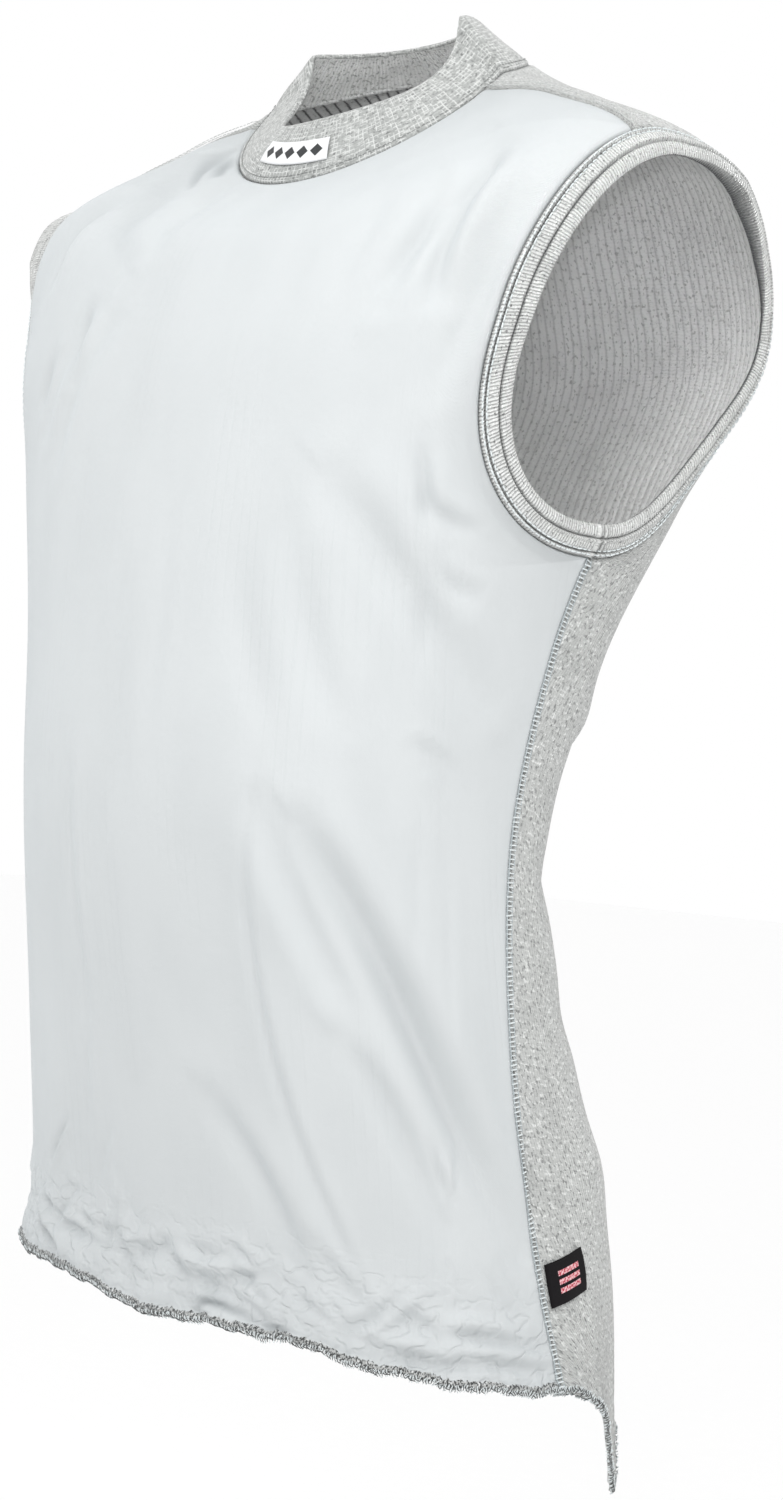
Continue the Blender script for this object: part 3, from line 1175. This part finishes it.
band = {
    "columns": 420,
    "width": 0.017,
    "towardMiddle": 0.85,
    # Reach into the opening as a share of the width, lift, shade; from the panel's edge inwards.
    "profile": (
        (0.00, -0.0016, 0.6), (0.02, -0.0002, 0.4), (0.05, 0.0008, 0.1), (0.09, 0.0013, 0.0),
        (0.14, 0.0011, 0.0), (0.17, 0.0002, 0.4), (0.19, -0.0010, 1.0), (0.21, 0.0001, 0.4),
        (0.25, 0.0011, 0.0), (0.32, 0.0015, 0.0), (0.42, 0.0015, 0.0), (0.49, 0.0014, 0.0),
        (0.53, 0.0020, 0.0), (0.565, 0.0020, 0.0), (0.59, 0.0010, 0.4), (0.615, -0.0010, 1.0),
        (0.64, 0.0002, 0.5), (0.69, 0.0009, 0.0), (0.77, 0.0007, 0.0), (0.86, 0.0001, 0.0),
        (0.93, -0.0006, 0.0), (0.98, -0.0014, 0.0), (1.01, -0.0022, 0.2), (1.012, -0.0026, 1.1),
        (1.00, -0.0032, 1.2), (0.95, -0.0038, 1.2), (0.85, -0.0034, 1.2), (0.65, -0.0026, 1.2),
        (0.40, -0.0024, 1.2), (0.20, -0.0026, 1.2), (0.05, -0.0028, 1.2), (0.00, -0.0024, 1.2),
    ),
    "measuredRow": 12,
    "innerFrom": 24,
    "flareBend": 0.8,
    "outsideLift": -0.0015,
    # The seam of the two ends: angle, dip (depth, reach), ridges (height, place, reach), shade.
    "joinAngle": 1.2,
    "joinDip": (0.0016, 0.55),
    "joinRidge": (0.0014, 1.5, 0.7),
    "joinShade": (0.8, 0.50),
    # the grooves' shade: least share, what the front adds, how far the front reaches round
    "grooveShade": (0.55, 0.45, 0.25),
    # turn, how far the inner edge stands off the shoulder
    "leftFlare": ((10.0, 0.0), (35.0, 0.0030), (58.0, 0.0060), (82.0, 0.0030), (105.0, 0.0)),
    "rightFlare": (
        (60.0, 0.0), (88.0, 0.0060), (104.0, 0.0125), (122.0, 0.0160), (140.0, 0.0120), (158.0, 0.0020),
        (175.0, -0.0030), (215.0, 0.0),
    ),
    # turn, how far the turned-in side hangs into the opening behind the shoulder
    "turnedIn": ((12.0, 0.0), (35.0, 0.0040), (56.0, 0.0075), (72.0, 0.0045), (90.0, 0.0)),
    "flat": (0.66, 0.018),
    "area": 0.0118,
}


def bandPoints(turn, reach, lift, side):
    leftAngle, station = armholePoint(turn)
    middle = (panelShape["armholeBottom"] + panelShape["armholeTop"]) / 2
    angle = leftAngle if side > 0 else 180.0 - leftAngle
    insideAngle = mix(0.0 if side > 0 else 180.0, angle, band["towardMiddle"])
    inside = bodyPoint(insideAngle, mix(middle, station, band["towardMiddle"]))
    inward = unit(inside - bodyPoint(angle, station))
    normal = bodyNormal(angle, station)
    edge = clothPoint(angle, station)
    return edge + inward * (band["width"] * reach)[..., None] + normal * lift[..., None], normal


def shapeBand(side):
    turns = np.linspace(-90.0, 270.0, band["columns"] + 1)[:-1]
    profile = np.array(band["profile"])
    turn = np.broadcast_to(turns, (len(profile), len(turns)))
    reach = np.broadcast_to(profile[:, :1], turn.shape)
    lift = np.broadcast_to(profile[:, 1:2], turn.shape).copy()
    flare = band["leftFlare"] if side > 0 else band["rightFlare"]
    inOpening = np.clip(reach, 0.0, 1.0)
    lift += np.interp(turn, *np.transpose(flare)) * inOpening ** band["flareBend"]
    hidden = np.arange(len(profile))[:, None] >= band["innerFrom"]
    lift -= np.interp(turn, *np.transpose(band["turnedIn"])) * inOpening * hidden
    # The two ends meet below the arm in a short upright seam.
    fromJoin = np.abs(wrapped(turn + 90.0 - band["joinAngle"]))
    outside = profile[:, 1:2] > band["outsideLift"]
    depth, reachOfDip = band["joinDip"]
    lift -= depth * np.exp(-(fromJoin / reachOfDip) ** 2) * outside
    ridge, place, reachOfRidge = band["joinRidge"]
    lift += ridge * np.exp(-((fromJoin - place) / reachOfRidge) ** 2) * outside
    # The grooves are darker in front, where the arm pulls them.
    least, added, further = band["grooveShade"]
    inFront = least + added * np.clip(-np.cos(np.radians(turn)) + further, 0.0, 1.0)
    inFront = np.where(hidden, 1.0, inFront)
    shade, reachOfShade = band["joinShade"]
    joinFurrow = shade * np.exp(-(fromJoin / reachOfShade) ** 2) * outside
    furrow = np.maximum(profile[:, 2:3] * inFront, joinFurrow)
    points, _ = bandPoints(turn, reach, lift, side)
    measured = points[band["measuredRow"]]
    around = steppedLength(np.concatenate((measured, measured[:1]))[None], 1)[0, :-1]
    along = steppedLength(points, 0)
    clothMap = np.stack((np.broadcast_to(around, along.shape), along), axis=-1)
    return points, clothMap, furrow


for side, node, name in ((1, "armhole_band_left", "bandLeft"), (-1, "armhole_band_right", "bandRight")):
    points, clothMap, furrow = shapeBand(side)
    piece = makeTube(name, points, clothMap, side > 0, [bandRib], len(points), {"furrow": furrow})
    finishPiece(piece, node)
print("stage: armhole bands")


label = {
    "angles": (-115.5, -74.0),
    "heights": (0.34, 0.71),
    "tilt": -0.10,
    "cells": (60, 16),
    "size": (0.046, 0.0155),
    "markCount": 5,
    "cellsBefore": 8.0,
    "markPitch": 0.0084,
    "markHalf": (0.0036, 0.0043),
    "gap": 0.0005,
    "thickness": 0.0006,
    "puff": 0.0003,
    "weave": {"Thread": 0.00028, "Unevenness": 0.6},
    "roughness": 0.7,
    "sheen": 0.1,
    "depth": 0.00006,
    "base": rgb(0.80, 0.81, 0.82),
    "mark": rgb(0.020, 0.022, 0.024),
}
tag = {
    "angles": (0.6, 10.2),
    "heights": (-0.627, -0.606),
    "tilt": 0.006,
    "cells": (22, 26),
    "size": (0.018, 0.023),
    "gap": 0.0007,
    "thickness": 0.0008,
    "puff": 0.0008,
    # rows in the tag's length, then half a bar's height as a share of its row
    "barRows": 5.0,
    "barHalf": 0.30,
    # half a bar's width and how far the bars reach from the middle, as shares of the tag
    "barHalfWidth": 0.29,
    "barReach": 0.31,
    # flecks across and along the tag, and where their mask starts and is full
    "barNoise": (26.0, 18.0),
    "barRange": (0.42, 0.58),
    "barDepth": 1.6,
    "weave": {"Thread": 0.00028, "Unevenness": 0.5},
    "roughness": 0.7,
    "specular": 0.12,
    "depth": 0.00007,
    "base": rgb(0.006, 0.005, 0.006),
    "stripe": rgb(0.480, 0.060, 0.090),
    "stripeLight": rgb(0.800, 0.520, 0.540),
}


def shareMap(rowsCount, columnsCount):
    across, along = np.meshgrid(np.linspace(0.0, 1.0, columnsCount), np.linspace(0.0, 1.0, rowsCount))
    return np.stack((across, along), axis=-1)


def tapeWeave(tree, clothMap, tape):
    scaled = scaledMap(tree, clothMap, *tape["size"])
    return useGroup(tree, weaveRelief, dict(tape["weave"], Map=scaled)).outputs["Height"]


# White woven tape with a row of five plain dark lozenges.
def labelMaterial():
    material, tree, shader, clothMap = startCloth("labelWhite", label["roughness"], label["sheen"])
    parts = partsOf(tree, clothMap)
    cells = label["size"][0] / label["markPitch"]
    half = label["markCount"] / 2
    fromCenter = calculate(tree, "SUBTRACT", parts[0], 0.5)
    # The row starts on a whole number, and the cells counted before it keep every value above 0.
    counted = half + label["cellsBefore"]
    cell = calculate(tree, "FRACT", calculate(tree, "MULTIPLY_ADD", fromCenter, cells, counted))
    across = times(tree, fromHalf(tree, cell), label["markPitch"] / label["markHalf"][0])
    upward = times(tree, fromHalf(tree, parts[1]), label["size"][1] / label["markHalf"][1])
    lozenge = calculate(tree, "LESS_THAN", plus(tree, across, upward), 1.0)
    inRow = calculate(tree, "LESS_THAN", calculate(tree, "ABSOLUTE", fromCenter), half / cells)
    marks = times(tree, lozenge, inRow)
    tree.links.new(blendColors(tree, marks, label["base"], label["mark"]), shader.inputs["Base Color"])
    addBump(tree, shader, tapeWeave(tree, clothMap, label), label["depth"])
    return material


# Black satin tape with three plain woven bars.
def tagMaterial():
    material, tree, shader, clothMap = startCloth(
        "tagBlack", tag["roughness"], 0.0, {"Specular IOR Level": tag["specular"]}
    )
    parts = partsOf(tree, clothMap)
    inside = calculate(tree, "LESS_THAN", fromHalf(tree, parts[0]), tag["barHalfWidth"])
    rows = calculate(tree, "FRACT", times(tree, parts[1], tag["barRows"]))
    bars = calculate(tree, "COMPARE", rows, 0.5, tag["barHalf"])
    tall = calculate(tree, "COMPARE", parts[1], 0.5, tag["barReach"])
    mask = times(tree, times(tree, inside, bars), tall)
    threads = between(tree, noiseAt(tree, clothMap, *tag["barNoise"]), *tag["barRange"])
    barColor = blendColors(tree, threads, tag["stripe"], tag["stripeLight"])
    tree.links.new(blendColors(tree, mask, tag["base"], barColor), shader.inputs["Base Color"])
    height = plus(tree, tapeWeave(tree, clothMap, tag), times(tree, mask, tag["barDepth"]))
    addBump(tree, shader, height, tag["depth"])
    return material


def shapeLabel():
    angles = np.linspace(*label["angles"], label["cells"][0])
    heights = np.linspace(*label["heights"], label["cells"][1])
    angle, height = np.meshgrid(angles, heights)
    height = height + label["tilt"] * np.linspace(0.0, 1.0, len(angles))
    base = collarPoint(angle, height)
    normal = gridNormal(base, False, 1.0)
    outer = base + normal * (label["gap"] + label["thickness"])
    clothMap = shareMap(*angle.shape)
    puff = np.sin(np.pi * clothMap[..., 1]) ** 0.4
    outer += normal * (label["puff"] * puff)[..., None]
    inner = outer - normal * label["thickness"]
    return makeShell("collarLabel", outer, inner, clothMap, False, [labelMaterial()])


def stationAtHeight(angle, height):
    low = np.zeros(np.shape(angle))
    high = low + panelShape["armholeBottom"]
    for _ in range(30):
        middle = (low + high) / 2
        below = bodyPoint(angle, middle)[..., 2] < height
        low = np.where(below, middle, low)
        high = np.where(below, high, middle)
    return low


def shapeTag():
    clothMap = shareMap(tag["cells"][1], tag["cells"][0])
    across = clothMap[..., 0]
    along = clothMap[..., 1]
    angle = mix(*tag["angles"], across)
    height = mix(*tag["heights"], along) + tag["tilt"] * across
    station = stationAtHeight(angle, height)
    normal = bodyNormal(angle, station)
    puff = tag["puff"] * np.sin(np.pi * along) * across
    outer = clothPoint(angle, station) + normal * (tag["gap"] + tag["thickness"] + puff)[..., None]
    inner = outer - normal * tag["thickness"]
    return makeShell("sideTag", outer, inner, clothMap, False, [tagMaterial()])


labelPiece = finishPiece(shapeLabel(), "collar_label")
tagPiece = finishPiece(shapeTag(), "side_tag")
print("stage: label and tag")


stitchInputs = (
    ("Length", "Float", 0.002), ("Thickness", "Float", 0.0004), ("Arch", "Float", 0.0004),
    ("Turn", "Float", 0.0), ("Wobble", "Float", 0.1), ("Seed", "Int", 3),
)
stitchShape = {
    "threadSteps": 4,
    "threadSides": 5,
    "smallest": 0.85,
    "largest": 1.12,
}


# Stitches: one arched thread on every point of a run, turned from the run by its own angle.
def buildStitchTree(material):
    tree = bpy.data.node_groups.new("stitchRun", "GeometryNodeTree")
    tree.interface.new_socket("Geometry", in_out="INPUT", socket_type="NodeSocketGeometry")
    identifiers = {}
    for name, kind, value in stitchInputs:
        socket = tree.interface.new_socket(name, in_out="INPUT", socket_type="NodeSocket" + kind)
        socket.default_value = value
        identifiers[name] = socket.identifier
    tree.interface.new_socket("Geometry", in_out="OUTPUT", socket_type="NodeSocketGeometry")
    given = tree.nodes.new("NodeGroupInput").outputs

    def step(kind, output, settings=None, **values):
        named = {name.replace("_", " "): value for name, value in values.items()}
        return addNode(tree, kind, settings, named).outputs[output]

    def place(x, z):
        return step("ShaderNodeCombineXYZ", 0, X=x, Z=z)

    def runField(name):
        kind = "GeometryNodeInputNamedAttribute"
        return step(kind, "Attribute", {"data_type": "FLOAT_VECTOR"}, Name=name)

    def anyBetween(low, high):
        values = {2: low, 3: high, "Seed": given["Seed"]}
        return addNode(tree, "FunctionNodeRandomValue", {"data_type": "FLOAT"}, values).outputs[1]

    half = times(tree, given["Length"], 0.5)
    thread = step(
        "GeometryNodeCurveQuadraticBezier", "Curve", Resolution=stitchShape["threadSteps"],
        Start=place(times(tree, given["Length"], -0.5), 0.0),
        Middle=place(0.0, times(tree, given["Arch"], 2.0)), End=place(half, 0.0),
    )
    ring = step(
        "GeometryNodeCurvePrimitiveCircle", "Curve", Resolution=stitchShape["threadSides"],
        Radius=times(tree, given["Thickness"], 0.5),
    )
    tube = step("GeometryNodeCurveToMesh", "Mesh", Curve=thread, Profile_Curve=ring, Fill_Caps=True)
    align = "FunctionNodeAlignRotationToVector"
    along = step(align, "Rotation", {"axis": "X"}, Vector=runField("along"))
    upright = {"axis": "Z", "pivot_axis": "X"}
    standing = step(align, "Rotation", upright, Rotation=along, Vector=runField("outward"))
    loose = anyBetween(times(tree, given["Wobble"], -1.0), given["Wobble"])
    angle = plus(tree, given["Turn"], loose)
    twist = step("FunctionNodeAxisAngleToRotation", "Rotation", Axis=(0.0, 0.0, 1.0), Angle=angle)
    local = {"rotation_space": "LOCAL"}
    turned = step("FunctionNodeRotateRotation", "Rotation", local, Rotation=standing, Rotate_By=twist)
    size = anyBetween(stitchShape["smallest"], stitchShape["largest"])
    copies = step(
        "GeometryNodeInstanceOnPoints", "Instances",
        Points=given["Geometry"], Instance=tube, Rotation=turned, Scale=size,
    )
    real = step("GeometryNodeRealizeInstances", "Geometry", Geometry=copies)
    smooth = step("GeometryNodeSetShadeSmooth", "Geometry", Geometry=real)
    painted = step("GeometryNodeSetMaterial", "Geometry", Geometry=smooth, Material=material)
    addNode(tree, "NodeGroupOutput", None, {"Geometry": painted})
    return tree, identifiers


# Even steps along a line, with the run's direction and the cloth's own outward direction.
def evenRun(line, normals, pitch, closed=False):
    if closed:
        line = np.vstack((line, line[:1]))
        normals = np.vstack((normals, normals[:1]))
    length = steppedLength(line[None], 1)[0]
    count = max(int(length[-1] / pitch), 2)
    stops = np.linspace(0.0, length[-1], count, endpoint=not closed)
    places = np.stack([np.interp(stops, length, line[:, axis]) for axis in range(3)], axis=-1)
    outward = unit(np.stack([np.interp(stops, length, normals[:, axis]) for axis in range(3)], axis=-1))
    if closed:
        along = np.roll(places, -1, axis=0) - np.roll(places, 1, axis=0)
    else:
        along = np.gradient(places, axis=0)
    return places, unit(along), outward


def addStitches(name, runs, sizes, material):
    places, along, outward = (np.vstack(parts) for parts in zip(*runs))
    mesh = bpy.data.meshes.new(name + "Run")
    mesh.from_pydata([tuple(place) for place in places], [], [])
    for field, values in (("along", along), ("outward", outward)):
        attribute = mesh.attributes.new(field, "FLOAT_VECTOR", "POINT")
        attribute.data.foreach_set("vector", values.astype(np.float32).ravel())
    piece = bpy.data.objects.new(name, mesh)
    bpy.context.scene.collection.objects.link(piece)
    tree, identifiers = buildStitchTree(material)
    modifier = piece.modifiers.new("stitches", "NODES")
    modifier.node_group = tree
    for inputName, value in sizes.items():
        modifier[identifiers[inputName]] = value
    bpy.context.view_layer.update()
    evaluated = piece.evaluated_get(bpy.context.evaluated_depsgraph_get())
    finished = bpy.data.meshes.new_from_object(evaluated)
    piece.modifiers.clear()
    piece.data = finished
    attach(piece, "root")
    return piece


def shifted(line, normals, sideways, lift):
    direction = unit(np.gradient(line, axis=0))
    across = unit(np.cross(normals, direction))
    return line + across * sideways + normals * lift


stitches = {
    "sideWhite": dict(Length=0.0046, Thickness=0.00080, Arch=0.00030, Turn=1.50, Wobble=0.10, Seed=3),
    "sideEdge": dict(Length=0.0022, Thickness=0.00055, Arch=0.00020, Wobble=0.16, Seed=5),
    "armhole": dict(Length=0.0027, Thickness=0.00085, Arch=0.00030, Wobble=0.08, Seed=7),
    "collarSeam": dict(Length=0.0021, Thickness=0.00042, Arch=0.00018, Wobble=0.10, Seed=9),
    "shoulder": dict(Length=0.0022, Thickness=0.00050, Arch=0.00020, Wobble=0.10, Seed=11),
    "hemLight": dict(Length=0.0042, Thickness=0.00050, Arch=0.00050, Turn=1.25, Wobble=0.60, Seed=13),
    "hemDark": dict(Length=0.0032, Thickness=0.00048, Arch=0.00060, Turn=-1.15, Wobble=0.80, Seed=17),
    "sidePitch": 0.0023,
    "sideLift": 0.0006,
    "sideOffset": 0.0021,
    "armholePitch": 0.0036,
    "armholeTurns": 360,
    "armholeRows": ((0.11, 0.0014), (0.24, 0.0012)),  # reach over the band, lift
    "collarPitch": 0.0028,
    "collarHeight": 0.11,
    "collarLift": 0.0002,
    "shoulderPitch": 0.0030,
    "shoulderOffsets": (0.0020, 0.0048),
    "shoulderLift": 0.0009,
    "hemLightPitch": 0.0012,
    "hemLightLift": 0.0003,
    "hemDarkPitch": 0.0014,
    "hemDarkLift": 0.0004,
}
panelSides = ((-1, 1.0), (0, -1.0))  # a panel's edge column, and the sign that mirrors a shift there

belowArm = slice(0, frontGrid["rowsBelow"])
sideRuns = []
sideEdges = []
for column, sign in panelSides:
    line = frontGrid["outer"][belowArm, column]
    normals = frontGrid["normal"][belowArm, column]
    sideRuns.append(evenRun(line + normals * stitches["sideLift"], normals, stitches["sidePitch"]))
    for offset in (-stitches["sideOffset"], stitches["sideOffset"]):
        moved = shifted(line, normals, offset * sign, stitches["sideLift"])
        sideEdges.append(evenRun(moved, normals, stitches["sidePitch"]))
sideSeamThreads = addStitches("sideSeamThreads", sideRuns, stitches["sideWhite"], threadWhite)
sideSeamEdges = addStitches("sideSeamEdges", sideEdges, stitches["sideEdge"], threadBlueGrey)

bandTurns = np.linspace(-90.0, 270.0, stitches["armholeTurns"], endpoint=False)
armholeRuns = []
for side in (1, -1):
    for reach, lift in stitches["armholeRows"]:
        spots = np.full(bandTurns.shape, reach)
        line, normals = bandPoints(bandTurns, spots, np.full(bandTurns.shape, lift), side)
        armholeRuns.append(evenRun(line, normals, stitches["armholePitch"], closed=True))
armholeThreads = addStitches("armholeThreads", armholeRuns, stitches["armhole"], threadWhite)

seamRow = max(int(stitches["collarHeight"] * collar["outerRows"]), 1)
seamNormals = collarNormal[seamRow]
seamLine = collarOuter[seamRow] + seamNormals * stitches["collarLift"]
collarRun = evenRun(seamLine, seamNormals, stitches["collarPitch"], closed=True)
collarThreads = addStitches("collarThreads", [collarRun], stitches["collarSeam"], threadGrey)

aboveArm = slice(backGrid["armholeEnd"] - 1, None)
shoulderRuns = []
for column, sign in panelSides:
    line = backGrid["outer"][aboveArm, column]
    normals = backGrid["normal"][aboveArm, column]
    for offset in stitches["shoulderOffsets"]:
        moved = shifted(line, normals, -offset * sign, stitches["shoulderLift"])
        shoulderRuns.append(evenRun(moved, normals, stitches["shoulderPitch"]))
shoulderThreads = addStitches("shoulderThreads", shoulderRuns, stitches["shoulder"], threadPale)


def addHem(name, material):
    runs = []
    for grid in (frontGrid, backGrid):
        normals = grid["normal"][1]
        line = grid["outer"][1] + normals * stitches[name + "Lift"]
        runs.append(evenRun(line, normals, stitches[name + "Pitch"]))
    return addStitches(name, runs, stitches[name], material)


hemLight = addHem("hemLight", threadWhite)
hemDark = addHem("hemDark", threadDark)
print("stage: stitches")


print("stage: sheets declared")


studio = {
    "floorZ": -1.42,
    "floorSize": 30.0,
    "floorColor": rgb(0.985, 0.985, 0.985),
    "floorGrain": {"Scale": 40.0, "Detail": 3.0},
    "floorDarker": 0.985,
    "floorRoughness": 0.9,
    "worldColor": rgb(1.0, 1.0, 1.0),
    "worldStrength": 1.0,
    "cameraTurn": 45.627,
    "cameraDistance": 1.545,
    "cameraZ": -0.354,
    "roll": 0.05739,
    "lens": 68.40,
    "sensorWidth": 36.0,
    "clip": (0.05, 60.0),
    "shift": (0.0337, -0.0042),
    # place, aimed at, size, spread in degrees, watts
    "lights": (
        ((0.86, -1.16, 0.42), (0.10, -0.11, -0.28), 0.6, 66.0, 1.80),
        ((-1.9, -1.2, 0.9), (0.0, 0.0, -0.15), 0.9, 120.0, 0.8),
        ((1.9, 0.9, 1.0), (0.0, 0.0, -0.3), 1.2, 160.0, 5.3),
        ((0.10, -0.35, 1.25), (0.0, 0.03, 0.0), 0.4, 50.0, 0.31),
        ((1.14, -1.12, -0.30), (0.20, 0.01, -0.125), 0.06, 8.0, 0.0105),
    ),
}


def addFloor():
    half = studio["floorSize"] / 2
    mesh = bpy.data.meshes.new("floor")
    corners = [(-half, -half), (half, -half), (half, half), (-half, half)]
    mesh.from_pydata([(x, y, studio["floorZ"]) for x, y in corners], [], [(0, 1, 2, 3)])
    material, tree, shader = startMaterial("floorPale", {"Roughness": studio["floorRoughness"]})
    darker = darkened(studio["floorColor"], studio["floorDarker"])
    mixed = blendColors(tree, grainAt(tree, studio["floorGrain"]), studio["floorColor"], darker)
    tree.links.new(mixed, shader.inputs["Base Color"])
    mesh.materials.append(material)
    floor = bpy.data.objects.new("floor", mesh)
    bpy.context.scene.collection.objects.link(floor)


def addLights():
    for number, (place, target, size, spread, watts) in enumerate(studio["lights"]):
        data = bpy.data.lights.new("softbox%d" % number, "AREA")
        data.shape = "SQUARE"
        data.size = size
        data.spread = math.radians(spread)
        data.energy = watts
        lamp = bpy.data.objects.new("softbox%d" % number, data)
        lamp.location = place
        aim = Vector(target) - Vector(place)
        lamp.rotation_mode = "QUATERNION"
        lamp.rotation_quaternion = aim.to_track_quat("-Z", "Y")
        lamp.visible_camera = False
        bpy.context.scene.collection.objects.link(lamp)
    world = bpy.data.worlds.new("studioWorld")
    world.use_nodes = True
    background = world.node_tree.nodes["Background"]
    background.inputs["Color"].default_value = studio["worldColor"]
    background.inputs["Strength"].default_value = studio["worldStrength"]
    bpy.context.scene.world = world


def addCamera():
    turn = math.radians(studio["cameraTurn"])
    data = bpy.data.cameras.new("camera")
    data.sensor_width = studio["sensorWidth"]
    data.lens = studio["lens"]
    data.shift_x, data.shift_y = studio["shift"]
    data.clip_start, data.clip_end = studio["clip"]
    camera = bpy.data.objects.new("camera", data)
    distance = studio["cameraDistance"]
    camera.location = (distance * math.sin(turn), -distance * math.cos(turn), studio["cameraZ"])
    look = Vector((-math.sin(turn), math.cos(turn), 0.0))
    camera.rotation_mode = "QUATERNION"
    roll = Quaternion((0.0, 0.0, 1.0), studio["roll"])
    camera.rotation_quaternion = look.to_track_quat("-Z", "Y") @ roll
    bpy.context.scene.collection.objects.link(camera)
    bpy.context.scene.camera = camera


addFloor()
addLights()
addCamera()
bpy.context.scene.view_settings.view_transform = "Standard"
print("stage: studio")
